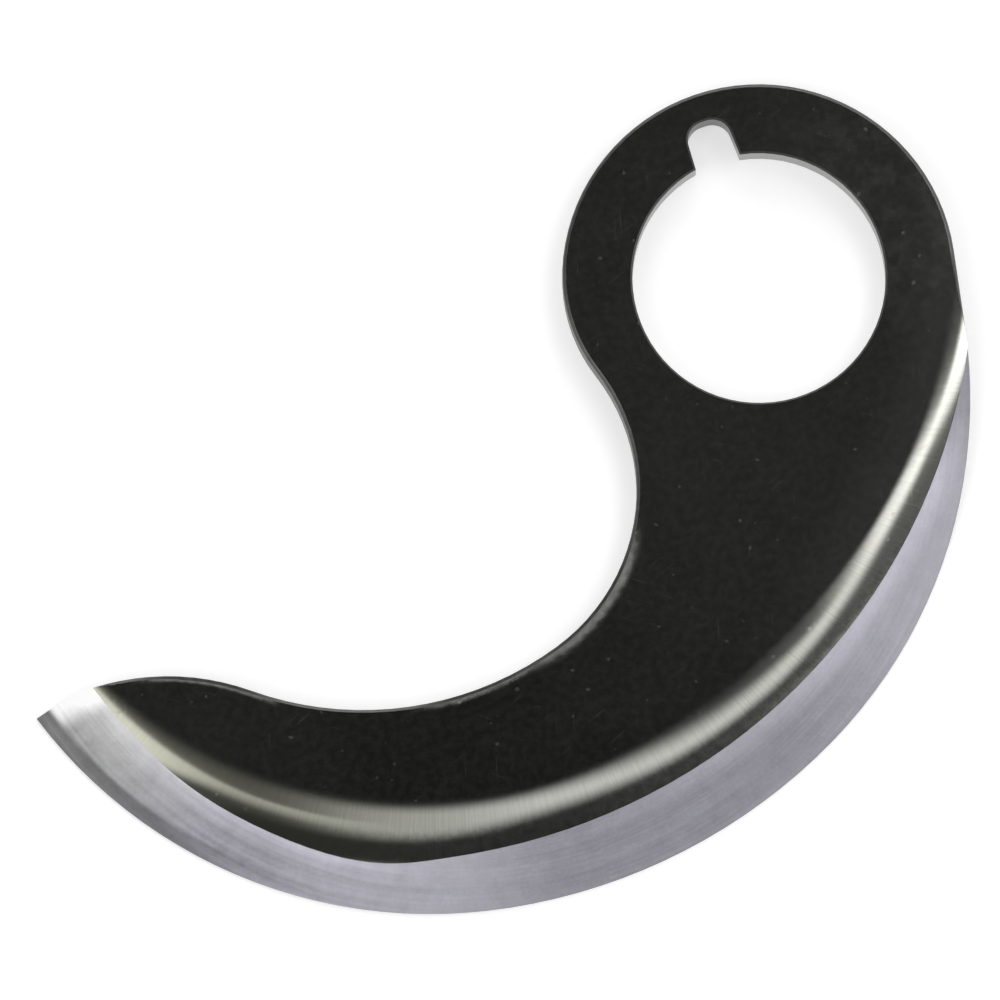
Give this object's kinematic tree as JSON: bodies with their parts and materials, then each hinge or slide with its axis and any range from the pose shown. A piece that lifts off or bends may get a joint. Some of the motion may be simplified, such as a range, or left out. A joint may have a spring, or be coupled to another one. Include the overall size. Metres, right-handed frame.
{
  "type": "food cutter blade",
  "caption": "Sickle-shaped steel knife for a bowl food cutter: keyed ring hub, hooked arm, rolled shoulder and a one-sided ground edge running to a pointed tip.",
  "frame": {"origin": "centre of the shaft bore in the plane of the flat back face", "axes": "+Z along the shaft bore out of the ground front face, +Y from the bore's centre through the key slot, -X towards the tip"},
  "size_m": [0.154, 0.1084, 0.0056],
  "materials": {
    "blade_steel": "dark polished face with a bright ground bevel"
  },
  "bodies": {
    "root": {"cutter_blade": "blade_steel"}
  },
  "joints": []
}
